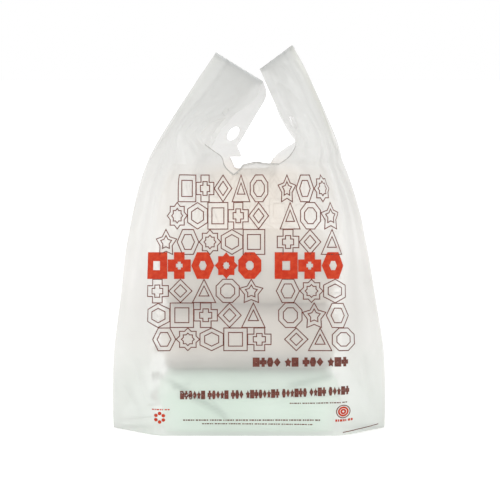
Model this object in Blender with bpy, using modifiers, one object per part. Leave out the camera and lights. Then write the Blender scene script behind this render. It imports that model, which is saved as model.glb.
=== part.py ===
"""Thin film T-shirt carrier bag that stands round a stack of three square containers."""

from math import atan2, cos, pi, sin

import bmesh
import bpy
from mathutils import Matrix, Vector

# Bag: flat sizes and standing shape, in metres
bag_width = 0.305  # across the flat tube, wing fold to wing fold
gusset_depth = 0.089  # one gusset half, wing fold to gusset fold
lip_height = 0.300  # mouth lip at the middle of the front
back_lip_drop = 0.014  # the back lip sits lower
root_rise = 0.022  # the handle straps leave the mouth this far above the lip
gusset_drop = 0.012  # the bag's gussets stop this far below it, clear of the swinging straps
film = 0.0005  # stand-in thickness of the film
gap = 0.0004  # left between touching pieces
fold_gap = 0.0012  # a gusset half starts this far from its wing fold
seal_width = 0.008  # bottom weld strip
seal_thickness = 0.001

# Load: three stacked containers
container_side = 0.202
container_height = 0.0725
container_count = 3
tray_height = 0.042  # rim height within a container
wall_slope = 0.008  # how far a wall leans in, away from the rim
rim_band = 0.004  # upright band at the rim
corner_round = 0.024
foam = 0.0025
corner_steps = 4

# Mouth cut
mouth_left = 0.050  # from the middle to each side of the cut
mouth_right = 0.047
mouth_radius = 0.018
notch_middle = -0.014  # torn hanging tab
notch_width = 0.024
notch_depth = 0.011

# Handles
root_lap = 0.010  # strap tucked down behind the panel
strap_inset = 0.0008  # strap behind the panel's inner face
weld_height = 0.005
gusset_start = 0.48  # share of the strap below a handle's gusset plies
gusset_share = 0.86  # their width against the strap's
gusset_spread = 0.018  # how far their inner edges stand off at the start
hole_length = 0.017
hole_width = 0.011
strap_rows = 4
# Each handle: how far its root's edges lie from the wing fold and past the mouth's sides, where the
# corners of the weld lie, counted inwards and upwards from the root's outer edge, and its rack hole,
# counted along the strap and inwards from the middle of the root
handles = {
    "left": {
        "wing_inset": 0.0015,
        "mouth_inset": -0.004,
        "back_mouth_inset": -0.040,
        "weld": ((0.0625, 0.100), (0.1145, 0.067)),
        "depth": -0.015,
        "hole": (0.038, 0.040),
        "hole_plies": ("back",),
    },
    "right": {
        "wing_inset": 0.0045,
        "mouth_inset": 0.0,
        "back_mouth_inset": 0.0,
        "weld": ((0.0474, 0.107), (0.0840, 0.080)),
        "depth": 0.015,
        "hole": (0.032, 0.007),
        "hole_plies": ("front", "back"),
    },
}

half = bag_width / 2
load_base = seal_thickness + gap
side = container_side / 2 + film + gap + 0.0006  # panels beside the load
fold = side + 0.0019  # gusset folds beside the load
stack_top = load_base + container_count * container_height
root_height = lip_height + root_rise
root_wing = half - 0.052  # wing fold at the root, from the middle
root_depth = side - 0.0445  # the same, along Y
gusset_top = lip_height - gusset_drop
ply_pitch = 1.25 * film + gap  # spacing of the four plies under the top weld, for sloping film
weld_thickness = 4 * ply_pitch + 2 * gap

film_look = ((0.90, 0.91, 0.90), 0.38)
foam_look = ((0.93, 0.93, 0.90), 0.7)


def clear_scene():
    for item in list(bpy.data.objects):
        bpy.data.objects.remove(item, do_unlink=True)


def new_collection(name):
    made = bpy.data.collections.new(name)
    bpy.context.scene.collection.children.link(made)
    return made


def make_material(name, look):
    colour, roughness = look
    material = bpy.data.materials.new(name)
    material.use_nodes = True
    shader = material.node_tree.nodes["Principled BSDF"]
    shader.inputs["Base Color"].default_value = (*colour, 1.0)
    shader.inputs["Roughness"].default_value = roughness
    shader.inputs["Metallic"].default_value = 0.0
    return material


def add_object(name, mesh, look, collection):
    item = bpy.data.objects.new(name, mesh)
    collection.objects.link(item)
    mesh.materials.append(make_material(name, look))
    return item


def thicken(item, thickness):
    solid = item.modifiers.new("thickness", "SOLIDIFY")
    solid.thickness = thickness
    solid.offset = -1.0
    solid.use_even_offset = True


def loft(name, rows, thickness, look, collection, closed=False, cap=None):
    """Open surface through rows of points, thickened away from its outer side."""
    count = len(rows[0])
    points = [point for row in rows for point in row]
    faces = []
    for r in range(len(rows) - 1):
        for c in range(count if closed else count - 1):
            after = (c + 1) % count
            faces.append((r * count + c, r * count + after, (r + 1) * count + after, (r + 1) * count + c))
    if cap == "bottom":
        faces.append(tuple(reversed(range(count))))
    if cap == "top":
        faces.append(tuple(range(len(points) - count, len(points))))
    mesh = bpy.data.meshes.new(name)
    mesh.from_pydata(points, [], faces)
    item = add_object(name, mesh, look, collection)
    thicken(item, thickness)
    return item


def plate(name, outline, low, thickness, look, collection):
    """Flat sheet with the given outline, lying at height low."""
    curve = bpy.data.curves.new(name, "CURVE")
    curve.dimensions = "2D"
    curve.fill_mode = "BOTH"
    curve.extrude = thickness / 2
    spline = curve.splines.new("POLY")
    spline.points.add(len(outline) - 1)
    for point, (x, y) in zip(spline.points, outline):
        point.co = (x, y, 0, 1)
    spline.use_cyclic_u = True
    item = add_object(name, curve, look, collection)
    item.location = (0, 0, low + thickness / 2)
    return item


def box(name, size, centre, turn, look, collection):
    mesh = bpy.data.meshes.new(name)
    made = bmesh.new()
    bmesh.ops.create_cube(made, size=1.0, matrix=Matrix.Diagonal((*size, 1.0)))
    made.to_mesh(mesh)
    made.free()
    item = add_object(name, mesh, look, collection)
    item.rotation_euler = (0, turn, 0)
    item.location = centre
    return item


def hide_cutter(item):
    item.hide_render = True
    item.display_type = "WIRE"
    return item


def cut(item, cutter):
    boolean = item.modifiers.new("cut", "BOOLEAN")
    boolean.operation = "DIFFERENCE"
    boolean.object = cutter


def wing_reach(wing_x, fold_x):
    """Half depth of the wing fold, so that a gusset half keeps its width."""
    return (gusset_depth**2 - (wing_x - fold_x) ** 2) ** 0.5


def fold_reach(wing_x, wing_y):
    """Gusset fold from the middle, so that a gusset half keeps its width."""
    return wing_x - (gusset_depth**2 - wing_y**2) ** 0.5


# The standing bag's cross-section, by height: wing fold (x, y), front corner (x, y), gusset fold x
def section_rows():
    ear = seal_width / 2 + film + gap
    beside = wing_reach(half - 0.003, fold)
    rows = []
    for share in (0.0, 0.3, 0.65, 1.0):
        wing_x = half - 0.0005 - 0.0025 * share
        wing_y = ear + (beside - ear) * sin(share * pi / 2)
        fold_x = wing_x - 0.0015 - (wing_x - 0.0015 - fold) * share
        rows.append((0.45 * stack_top * share, wing_x, wing_y, side, side, fold_x))
    for share, tuck in ((0.68, 0.0105), (0.93, 0.0185), (1.0, 0.0205)):
        wing_x = half - tuck
        rows.append((stack_top * share, wing_x, wing_reach(wing_x, fold), side, side, fold))
    rise = lip_height - stack_top
    leans = ((0.1, 0.001, 0.001), (0.35, 0.004, 0.004), (0.7, 0.014, 0.014), (1.0, 0.042, 0.026))
    for share, lean_x, lean_y in leans:
        wing_x = half - 0.0215 - 0.021 * share
        wing_y = side - 0.0165 - 0.022 * share
        fold_x = min(fold_reach(wing_x, wing_y), fold)
        rows.append((stack_top + rise * share, wing_x, wing_y, side - lean_x, side - lean_y, fold_x))
    rows.append((root_height, root_wing, root_depth, 0.048, root_depth + 0.006, 0.034))
    return rows


def section_at(height):
    rows = section_rows()
    for low, high in zip(rows, rows[1:]):
        if height <= high[0]:
            share = (height - low[0]) / (high[0] - low[0])
            return tuple(a + (b - a) * share for a, b in zip(low, high))
    return rows[-1]


def panel(name, facing, collection):
    rows = []
    for height, wing_x, wing_y, corner_x, corner_y, _ in section_rows():
        right = [(0, corner_y), (corner_x, corner_y), (wing_x, wing_y)]
        across = [(-x, y) for x, y in reversed(right[1:])] + right
        rows.append([(-facing * x, facing * y, height) for x, y in across])
    return loft(name, rows, film, film_look, collection)


def mouth_outline(lip, torn):
    """Outline of the mouth cut in X and Z, open towards the top."""
    high = root_height + 0.05
    steps = 6
    outline = [(-mouth_left, high)]
    for k in range(steps + 1):
        turn = pi + k / steps * pi / 2
        x = mouth_radius - mouth_left + mouth_radius * cos(turn)
        outline.append((x, lip + mouth_radius + mouth_radius * sin(turn)))
    if torn:
        outline.append((notch_middle - notch_width / 2, lip))
        outline.append((notch_middle, lip - notch_depth))
        outline.append((notch_middle + notch_width / 2, lip))
    for k in range(steps + 1):
        turn = -pi / 2 + k / steps * pi / 2
        x = mouth_right - mouth_radius + mouth_radius * cos(turn)
        outline.append((x, lip + mouth_radius + mouth_radius * sin(turn)))
    outline.append((mouth_right, high))
    return outline


def prism(name, outline, near, far, collection):
    """Closed prism along Y with an outline in X and Z."""
    mesh = bpy.data.meshes.new(name)
    made = bmesh.new()
    face = made.faces.new([made.verts.new((x, near, z)) for x, z in outline])
    pushed = bmesh.ops.extrude_face_region(made, geom=[face])
    moved = [part for part in pushed["geom"] if isinstance(part, bmesh.types.BMVert)]
    bmesh.ops.translate(made, verts=moved, vec=(0, far - near, 0))
    bmesh.ops.recalc_face_normals(made, faces=made.faces)
    made.to_mesh(mesh)
    made.free()
    item = bpy.data.objects.new(name, mesh)
    collection.objects.link(item)
    return hide_cutter(item)


def make_panels(parts, cutters):
    for name, facing, lip in (("front", -1, lip_height), ("back", 1, lip_height - back_lip_drop)):
        item = panel(name + "_panel", facing, parts)
        outline = mouth_outline(lip, torn=facing < 0)
        cut(item, prism(name + "_mouth_cut", outline, 0, facing * 0.2, cutters))


def make_gussets(parts):
    heights = [row[0] for row in section_rows() if row[0] < gusset_top]
    heights = [seal_thickness + gap] + heights[1:] + [gusset_top]
    for side, sign in (("left", -1), ("right", 1)):
        for end, facing in (("front", -1), ("back", 1)):
            rows = []
            for height in heights:
                _, wing_x, wing_y, _, _, fold_x = section_at(height)
                start = Vector((sign * wing_x, facing * wing_y))
                stop = Vector((sign * fold_x, facing * gap))
                start += (stop - start).normalized() * fold_gap
                ends = [start, stop] if sign * facing < 0 else [stop, start]
                rows.append([(p.x, p.y, height) for p in ends])
            loft(f"{side}_gusset_{end}", rows, film, film_look, parts)


def make_base(parts):
    """Film under the load, in two halves, with the weld strip between them."""
    _, wing_x, wing_y, corner_x, corner_y, _ = section_at(0)
    inset = film + gap
    for end, facing in (("front", -1), ("back", 1)):
        outline = [
            (-wing_x + 3 * inset, facing * (wing_y + inset)),
            (-corner_x + inset, facing * (corner_y - inset)),
            (corner_x - inset, facing * (corner_y - inset)),
            (wing_x - 3 * inset, facing * (wing_y + inset)),
        ]
        plate("base_" + end, outline, 0, film, film_look, parts)
    size = (2 * (wing_x - inset), seal_width, seal_thickness)
    box("bottom_seal", size, (0, 0, seal_thickness / 2), 0, film_look, parts)


def container_ring(reach, height):
    """Rounded square, anticlockwise from above."""
    points = []
    for corner in range(4):
        for k in range(corner_steps + 1):
            turn = (corner + k / corner_steps) * pi / 2
            x = (reach - corner_round) * (1 if corner in (0, 3) else -1) + corner_round * cos(turn)
            y = (reach - corner_round) * (1 if corner in (0, 1) else -1) + corner_round * sin(turn)
            points.append((x, y, height))
    return points


def make_containers(parts):
    reach = container_side / 2
    for level, name in zip(range(container_count), ("lower", "middle", "upper")):
        foot = load_base + level * container_height
        rim = foot + tray_height
        top = foot + container_height - gap
        floor = container_ring(reach - wall_slope, foot)
        roof = container_ring(reach - wall_slope, top)
        tray = [floor, container_ring(reach, rim - rim_band), container_ring(reach, rim)]
        lid = [container_ring(reach, rim + gap), container_ring(reach, rim + gap + rim_band), roof]
        loft(f"container_{name}_tray", tray, foam, foam_look, parts, closed=True, cap="bottom")
        loft(f"container_{name}_lid", lid, foam, foam_look, parts, closed=True, cap="top")


def strap_edges(handle, side, facing):
    """Outer and inner edge of a strap ply in X and Z, each from its root to the weld."""
    outer = Vector((side * (root_wing - handle["wing_inset"]), root_height))
    mouth = mouth_left if side < 0 else mouth_right
    inset = handle["mouth_inset"] if facing < 0 else handle["back_mouth_inset"]
    inner = Vector((side * (mouth + inset), root_height))
    weld = [outer + Vector((-side * inward, up)) for inward, up in handle["weld"]]
    return [(outer, weld[0]), (inner, weld[1])]


def strap_row(handle, side, facing, share):
    """Outer and inner point of a strap ply, from its root (0) to the weld (1)."""
    _, wing_x, wing_y, corner_x, corner_y, _ = section_at(root_height)
    edges = strap_edges(handle, side, facing)
    away = (edges[0][1] + edges[1][1] - edges[0][0] - edges[1][0]).normalized()
    weld_depth = handle["depth"] + facing * 1.5 * ply_pitch
    row = []
    for low, high in edges:
        slope = (abs(low.x) - corner_x) / (wing_x - corner_x)
        root_y = facing * (corner_y + (wing_y - corner_y) * slope - film - strap_inset)
        place = low.lerp(high - away * (weld_height + gap), share)
        row.append(Vector((place.x, root_y + (weld_depth - root_y) * share, place.y)))
    return row


def strap_ply_rows(handle, side, facing):
    rows = [strap_row(handle, side, facing, k / strap_rows) for k in range(strap_rows + 1)]
    return [[point - Vector((0, 0, root_lap)) for point in rows[0]]] + rows


def gusset_ply_rows(handle, side, facing):
    rows = []
    for k in range(strap_rows + 1):
        share = gusset_start + (1 - gusset_start) * k / strap_rows
        outer, inner = strap_row(handle, side, facing, share)
        stand_off = gusset_spread * (1 - k / strap_rows)
        near = outer.lerp(inner, 0.03) - Vector((0, facing * ply_pitch, 0))
        far = outer.lerp(inner, gusset_share) - Vector((0, facing * (ply_pitch + stand_off), 0))
        rows.append([near, far])
    return rows


def ply(name, rows, side, facing, pivot, parts):
    """One ply, with its outer edge first in each row."""
    left_first = (side < 0) == (facing < 0)
    ordered = rows if left_first else [list(reversed(row)) for row in rows]
    item = loft(name, ordered, film, film_look, parts)
    item.modifiers.new("flat faces", "TRIANGULATE")
    item.parent = pivot
    item.matrix_parent_inverse = Matrix.Translation(-pivot.location)
    return item


def make_handle(name, side, parts, cutters):
    handle = handles[name]
    edges = strap_edges(handle, side, -1)
    root = (edges[0][0] + edges[1][0]) / 2
    pivot = bpy.data.objects.new(name + "_handle_pivot", None)
    pivot.location = (root.x, 0, root.y)
    parts.objects.link(pivot)
    along_weld = edges[1][1] - edges[0][1]
    away = Vector((side * along_weld.y, -side * along_weld.x)).normalized()
    inward = Vector((-side * away.y, side * away.x))
    centre = root + away * handle["hole"][0] + inward * handle["hole"][1]
    cutter = oval(name + "_hole_cut", centre, away, cutters)
    for end, facing in (("front", -1), ("back", 1)):
        rows = strap_ply_rows(handle, side, facing)
        strap = ply(f"{name}_handle_{end}_strap", rows, side, facing, pivot, parts)
        if end in handle["hole_plies"]:
            cut(strap, cutter)
        rows = gusset_ply_rows(handle, side, facing)
        ply(f"{name}_handle_{end}_gusset", rows, side, facing, pivot, parts)
    size = (along_weld.length, weld_thickness, weld_height)
    middle = (edges[0][1] + edges[1][1]) / 2 - away * weld_height / 2 - root
    turn = atan2(-along_weld.y, along_weld.x)
    place = (middle.x, handle["depth"], middle.y)
    weld = box(name + "_handle_top_seal", size, place, turn, film_look, parts)
    weld.parent = pivot


def oval(name, centre, away, collection):
    mesh = bpy.data.meshes.new(name)
    made = bmesh.new()
    bmesh.ops.create_cone(
        made, cap_ends=True, segments=20, radius1=hole_width / 2, radius2=hole_width / 2, depth=0.2
    )
    stretch = Matrix.Diagonal((1.0, hole_length / hole_width, 1.0, 1.0))
    bmesh.ops.transform(made, matrix=stretch, verts=made.verts)
    along_y = Matrix(((away.y, 0, -away.x), (away.x, 0, away.y), (0, -1, 0))).transposed()
    bmesh.ops.transform(made, matrix=along_y.to_4x4(), verts=made.verts)
    bmesh.ops.recalc_face_normals(made, faces=made.faces)
    made.to_mesh(mesh)
    made.free()
    item = bpy.data.objects.new(name, mesh)
    item.location = (centre.x, 0, centre.y)
    collection.objects.link(item)
    return hide_cutter(item)


def main():
    clear_scene()
    parts = new_collection("carrier_bag")
    cutters = new_collection("cutters")
    make_panels(parts, cutters)
    make_gussets(parts)
    make_base(parts)
    make_containers(parts)
    make_handle("left", -1, parts, cutters)
    make_handle("right", 1, parts, cutters)


main()
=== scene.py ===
import math
import bmesh
import bpy
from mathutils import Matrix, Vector, noise


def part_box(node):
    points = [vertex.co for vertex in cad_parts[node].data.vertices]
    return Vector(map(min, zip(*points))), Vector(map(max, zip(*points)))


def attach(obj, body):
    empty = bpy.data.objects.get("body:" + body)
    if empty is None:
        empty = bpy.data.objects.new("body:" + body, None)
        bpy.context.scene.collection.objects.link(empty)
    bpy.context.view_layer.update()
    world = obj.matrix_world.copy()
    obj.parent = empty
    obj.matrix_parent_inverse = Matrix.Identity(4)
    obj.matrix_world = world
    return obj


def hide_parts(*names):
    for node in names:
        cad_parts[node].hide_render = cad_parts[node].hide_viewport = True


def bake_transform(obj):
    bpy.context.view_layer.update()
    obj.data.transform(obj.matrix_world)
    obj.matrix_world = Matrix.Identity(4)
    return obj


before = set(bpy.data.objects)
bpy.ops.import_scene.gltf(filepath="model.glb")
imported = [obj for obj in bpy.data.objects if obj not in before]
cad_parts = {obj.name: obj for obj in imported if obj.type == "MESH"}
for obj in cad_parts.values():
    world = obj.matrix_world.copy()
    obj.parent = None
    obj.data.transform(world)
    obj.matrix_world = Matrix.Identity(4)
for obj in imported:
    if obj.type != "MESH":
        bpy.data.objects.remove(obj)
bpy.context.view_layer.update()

# Film carrier bag with two loop handles, standing round three stacked foam containers.
# Everything is in metres; the front panel faces -Y.

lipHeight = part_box("front_panel")[1][2] - 0.022  # the CAD panel runs 22 mm up into the handles
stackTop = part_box("container_upper_lid")[1][2]


def smooth(low, high, value):
    t = min(max((value - low) / (high - low), 0.0), 1.0)
    return t * t * (3 - 2 * t)


def mix(a, b, t):
    return a + (b - a) * t


def bell(value, width):
    return math.exp(-(value / width) ** 2)


# shape of the standing film

bagShape = {
    # height, left wing x, right wing x, wing y, front corner x, front corner y, gusset fold x
    "rows": (
        (0.000, 0.1520, 0.1520, 0.0050, 0.1015, 0.1025, 0.1500),
        (0.020, 0.1523, 0.1523, 0.0280, 0.1020, 0.1025, 0.1400),
        (0.045, 0.1520, 0.1520, 0.0500, 0.1025, 0.1025, 0.1250),
        (0.070, 0.1512, 0.1512, 0.0660, 0.1025, 0.1025, 0.1120),
        (0.098, 0.1495, 0.1492, 0.0755, 0.1025, 0.1025, 0.1050),
        (0.149, 0.1430, 0.1410, 0.0800, 0.1025, 0.1025, 0.1045),
        (0.204, 0.1368, 0.1318, 0.0830, 0.1022, 0.1022, 0.1040),
        (0.222, 0.1335, 0.1280, 0.0835, 0.1015, 0.1015, 0.1020),
        (0.243, 0.1295, 0.1238, 0.0790, 0.0975, 0.0985, 0.0900),
        (0.276, 0.1215, 0.1135, 0.0700, 0.0860, 0.0890, 0.0680),
        (0.300, 0.1125, 0.1040, 0.0630, 0.0700, 0.0765, 0.0480),
    ),
    "flatHalf": 0.1525,  # half the tube's flat width
    "cornerSoft": 0.008,  # how softly the film turns at the load's edges
    "seamDip": 0.0046,  # film drawn in where two containers meet
    "seamReach": 0.0095,
    "wingFold": 0.003,
    "crease": 0.0016,
    "footDent": 0.003,
    "gussetWave": 0.0016,
    "gussetCrease": 0.0009,
    "gussetBow": 0.0012,
    "fineDent": 0.0004,
    "lipCurl": 0.0011,  # cut edges curl over a little
    "lipWave": 0.0016,
    "lipRipple": 0.0007,
    "backLipDrop": 0.014,
    "notchMiddle": -0.017,  # torn tab in the front lip
    "notchHalf": 0.0105,
    "notchDepth": 0.0105,
    "rowCount": 110,
    "frontColumns": 152,
    "backColumns": 110,
    "gussetColumns": 13,
    "underside": 0.0003,  # the film lies this far above the ground
}

filmShadeAndTone = {
    # painted shade in the gaps between containers: container below the seam, height above the seam, how much
    # darker, reach
    "seamShades": (
        (1, 0.002, 0.18, 0.0095),
        (1, 0.014, 0.08, 0.01),
        (2, -0.003, 0.16, 0.01),
        (2, 0.014, 0.05, 0.012),
    ),
    # painted shade under the torn tab and under the mouth's left corner
    "underNotchShade": 0.17,
    "leftCornerShade": 0.1,
    "warmFront": 0.3,  # warm cast over the printed part, stronger above the load's middle
    "warmTop": 0.6,
    "warmGreen": 0.075,
    "warmBlue": 0.15,
    "curl": (0.9, 0.89, 0.87),
    "plain": (1.0, 1.0, 1.0),
}


def bagRow(z):
    # smooth curve through the rows: wing xs, wing y, corner x and y, gusset fold x at a height
    rows = bagShape["rows"]
    z = min(max(z, rows[0][0]), rows[-1][0])
    k = next(i for i in range(len(rows) - 1) if z <= rows[i + 1][0])
    low, high = rows[k], rows[k + 1]
    before, after = rows[max(k - 1, 0)], rows[min(k + 2, len(rows) - 1)]
    span = high[0] - low[0]
    t = (z - low[0]) / span
    found = []
    for c in range(1, len(low)):
        slopeLow = (high[c] - before[c]) / (high[0] - before[0]) * span
        slopeHigh = (after[c] - low[c]) / (after[0] - low[0]) * span
        h = (2 * t**3 - 3 * t**2 + 1) * low[c] + (t**3 - 2 * t**2 + t) * slopeLow
        found.append(h + (3 * t**2 - 2 * t**3) * high[c] + (t**3 - t**2) * slopeHigh)
    return found


def panelPlan(u, row):
    # place in X and depth for a flat distance u from the middle
    wing = row[0] if u < 0 else row[1]
    side = -1 if u < 0 else 1
    far = abs(u)
    if far <= row[3]:
        return u, row[4]
    t = min((far - row[3]) / (bagShape["flatHalf"] - row[3]), 1.0)
    return side * mix(row[3], wing, t), mix(row[4], row[2], t)


# soft folds hang in the wings: flat distance at the top and at the foot, height of each end, push, width
hangingFolds = (
    (-0.1180, -0.1120, 0.300, 0.045, 0.0034, 0.0070),
    (-0.1330, -0.1400, 0.300, 0.120, 0.0026, 0.0060),
    (-0.0960, -0.1060, 0.300, 0.190, -0.0026, 0.0060),
    (0.1150, 0.1150, 0.300, 0.060, 0.0034, 0.0070),
    (0.1340, 0.1400, 0.290, 0.100, 0.0024, 0.0055),
    (0.0950, 0.1060, 0.300, 0.170, -0.0024, 0.0060),
    (-0.0560, -0.0900, 0.300, 0.222, 0.0020, 0.0050),
    (0.0560, 0.0880, 0.300, 0.222, 0.0020, 0.0050),
)

# sharp creases in the front: both ends, push, width and how much painted shade darkens the film beside them
handlingCreases = (
    (-0.0990, 0.0660, -0.0150, 0.0140, 0.0036, 0.0022, 0.22),
    (-0.0880, 0.0520, -0.0600, 0.0560, 0.0008, 0.0022, 0.08),
    (-0.0480, 0.0480, -0.0220, 0.0140, 0.0026, 0.0018, 0.06),
    (0.0380, 0.0520, 0.1060, 0.0670, 0.0012, 0.0026, 0.18),
    (0.0500, 0.0600, 0.0760, 0.0520, 0.0014, 0.0018, 0.04),
    (-0.1020, 0.1420, -0.0860, 0.1480, 0.0014, 0.0020, 0.05),
    (-0.1300, 0.0900, -0.1120, 0.0300, 0.0022, 0.0030, 0.04),
    (-0.1420, 0.0600, -0.1180, 0.0120, 0.0022, 0.0030, 0.05),
    (0.1240, 0.0950, 0.1360, 0.0250, 0.0020, 0.0032, 0.04),
    (-0.0180, 0.2890, 0.0060, 0.2620, 0.0018, 0.0026, 0.06),
    (-0.0180, 0.2890, -0.0460, 0.2740, 0.0018, 0.0026, 0.05),
    (0.0300, 0.3000, 0.0120, 0.2700, 0.0014, 0.0024, 0.04),
)


def creaseField(u, z):
    # push towards the outside, and painted shade beside the soft folds and the creases
    push, shade = 0.0, 0.0
    for topU, footU, topZ, footZ, height, width in hangingFolds:
        t = (topZ - z) / (topZ - footZ)
        if t < 1:
            away = u - mix(topU, footU, t)
            fade = 1 - smooth(0.6, 1.0, t)
            push += height * bell(away, width * max(1 + t, 0.6)) * fade
            # painted shade just beside each soft fold
            shade += 0.035 * bell(away - width * 1.2, width) * fade
    for u0, z0, u1, z1, height, width, paintedShade in handlingCreases:
        du, dz = u1 - u0, z1 - z0
        t = ((u - u0) * du + (z - z0) * dz) / (du * du + dz * dz)
        if 0 < t < 1:
            away = ((u - u0) * dz - (z - z0) * du) / math.hypot(du, dz)
            ends = smooth(0, 0.2, t) * (1 - smooth(0.7, 1, t))
            push += height * math.exp(-abs(away) / width) * ends
            # painted shade along one side of the crease
            shade += paintedShade * bell(away + width, width * 1.3) * ends
    return push, shade


def filmWaves(u, z, seed):
    # broad vertical folds and thin slanting creases that pressed film keeps
    wave = noise.noise(Vector((u * 26, z * 7 + seed, seed * 1.7)))
    slant = noise.noise(Vector((u * 34 + z * 20 + seed, z * 16 - u * 6, seed)))
    small = noise.noise(Vector((u * 80 - z * 30, z * 60 + u * 20, seed + 5)))
    return wave, 1 - 2 * abs(slant), small


def loadTouch(u, z, row):
    # 1 where the film lies on the load
    across = 1 - smooth(row[3] - 0.014, row[3] + 0.002, abs(u))
    return across * (1 - smooth(stackTop - 0.004, stackTop + 0.02, z))


def panelRest(u, row):
    room = min(bagShape["cornerSoft"], bagShape["flatHalf"] - abs(u))
    places = [panelPlan(u + k * room, row) for k in (-1, -0.5, 0, 0.5, 1)]
    return sum(p[0] for p in places) / 5, sum(p[1] for p in places) / 5


def panelPush(u, z, row, facing, seed):
    edge = smooth(0, 0.012, bagShape["flatHalf"] - abs(u))
    onLoad = loadTouch(u, z, row)
    wave, crease, small = filmWaves(u, z, seed)
    loose = 1 - 0.84 * onLoad
    push = edge * loose * (bagShape["wingFold"] * wave + bagShape["crease"] * crease + 0.0005 * small)
    inner = onLoad * (1 - smooth(0.084, 0.098, abs(u)))
    for level in (1, 2):
        near = z - stackTop / 3 * level - 0.0015 * noise.noise(Vector((u * 18, level * 5.0, seed)))
        push -= inner * bagShape["seamDip"] * bell(near, bagShape["seamReach"])
    push -= onLoad * 0.0005 * bell(z - 0.004, 0.006)
    push += edge * (creaseField(u, z)[0] if facing < 0 else loose * creaseField(-u, z)[0])
    foot = 1 - smooth(0.0, 0.075, z)
    outward = smooth(row[3] - 0.004, row[3] + 0.02, abs(u))
    push += edge * foot * outward * bagShape["footDent"] * noise.noise(Vector((u * 60, z * 45, seed + 9)))
    return push * smooth(0.0, 0.004, z)


def panelPoint(u, z, facing=-1, seed=2.0):
    # facing is -1 on the front panel and 1 on the back
    row = bagRow(z)
    x, y = panelRest(u, row)
    return Vector((x, facing * (y + panelPush(u, z, row, facing, seed)), z))


def panelShadeTint(u, z, facing):
    # painted shade in the gaps between containers, beside creases and under the mouth; a warm cast where what
    # lies behind the milky film shows through, stronger above the containers
    row = bagRow(z)
    touch = loadTouch(u, z, row)
    shade = creaseField(u, z)[1] if facing < 0 else 0.0
    touch *= 1 - smooth(0.088, 0.098, abs(u))
    # painted shade in the gaps between containers
    for level, above, paintedShade, reach in filmShadeAndTone["seamShades"]:
        shade += touch * paintedShade * bell(z - stackTop / 3 * level - above, reach)
    # painted shade under the torn tab and under the mouth's left corner
    if facing < 0:
        underNotchShade = smooth(-0.02, -0.012, u) * (1 - smooth(0.026, 0.036, u)) * smooth(0.284, 0.291, z)
        leftCornerShade = smooth(-0.064, -0.057, u) * (1 - smooth(-0.028, -0.02, u)) * smooth(0.28, 0.287, z)
        shade += filmShadeAndTone["underNotchShade"] * underNotchShade + filmShadeAndTone["leftCornerShade"] * leftCornerShade
    printed = smooth(0.08, 0.1, z) * (1 - smooth(0.286, 0.306, z)) * (1 - smooth(0.09, 0.118, abs(u)))
    upper = smooth(0.2, 0.235, z) * (1 - smooth(0.02, 0.08, abs(u - 0.006)))
    warm = printed * (filmShadeAndTone["warmFront"] + filmShadeAndTone["warmTop"] * upper)
    light = 1 - min(shade, 0.5)
    return (light, light * (1 - filmShadeAndTone["warmGreen"] * warm), light * (1 - filmShadeAndTone["warmBlue"] * warm))


def gussetPoint(side, facing, s, z):
    row = bagRow(z)
    wingX = row[0] if side < 0 else row[1]
    x = mix(wingX, row[5], s)
    y = mix(row[2], 0.0, s)
    bow = math.sin(s * math.pi)
    wave, crease, small = filmWaves(s * 0.09 + side, z, 11 + facing)
    push = bagShape["gussetWave"] * wave + bagShape["gussetCrease"] * crease + bagShape["fineDent"] * small
    push *= bow * smooth(0.0, 0.03, z)
    onLoad = 1 - smooth(stackTop - 0.01, stackTop + 0.02, z)
    push = max(push, -0.0005) if onLoad > 0.5 else push
    return Vector((side * (x + push + bagShape["gussetBow"] * bow * (1 - onLoad)), facing * y, z))


def lipTop(x, facing):
    # height of the film's edge above x
    if facing < 0:
        notch = max(0.0, 1 - abs(x - bagShape["notchMiddle"]) / bagShape["notchHalf"])
        wavy = bagShape["lipWave"] * math.sin(x * 85 + 0.6) + bagShape["lipRipple"] * math.sin(x * 240)
        edge = smooth(-0.029, -0.022, x) * (1 - smooth(0.03, 0.046, x))
        return lipHeight + wavy * edge - bagShape["notchDepth"] * notch**0.8
    drop = smooth(-0.0225, -0.015, x) * (1 - smooth(0.02, 0.03, x))
    return lipHeight - bagShape["backLipDrop"] * drop


def addMesh(name, points, faces, smoothAngle=60):
    mesh = bpy.data.meshes.new(name)
    mesh.from_pydata(points, [], faces)
    mesh.shade_smooth()
    mesh.set_sharp_from_angle(angle=math.radians(smoothAngle))
    piece = bpy.data.objects.new(name, mesh)
    bpy.context.scene.collection.objects.link(piece)
    return piece


def gridFaces(rows, columns, start=0, closed=False):
    faces = []
    for r in range(rows - 1):
        for c in range(columns if closed else columns - 1):
            n = (c + 1) % columns
            a = start + r * columns
            faces.append((a + c, a + n, a + columns + n, a + columns + c))
    return faces


def addUv(piece, uvs, name="flat"):
    layer = piece.data.uv_layers.new(name=name)
    for loop in piece.data.loops:
        layer.data[loop.index].uv = uvs[loop.vertex_index]


# the vertex colours carry painted shade and a warm cast into the film's material
def addShadeTint(piece, shadeTints):
    layer = piece.data.color_attributes.new("shadeTint", "FLOAT_COLOR", "POINT")
    for spot, shadeTint in zip(layer.data, shadeTints):
        spot.color = (*shadeTint, 1.0)


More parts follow.
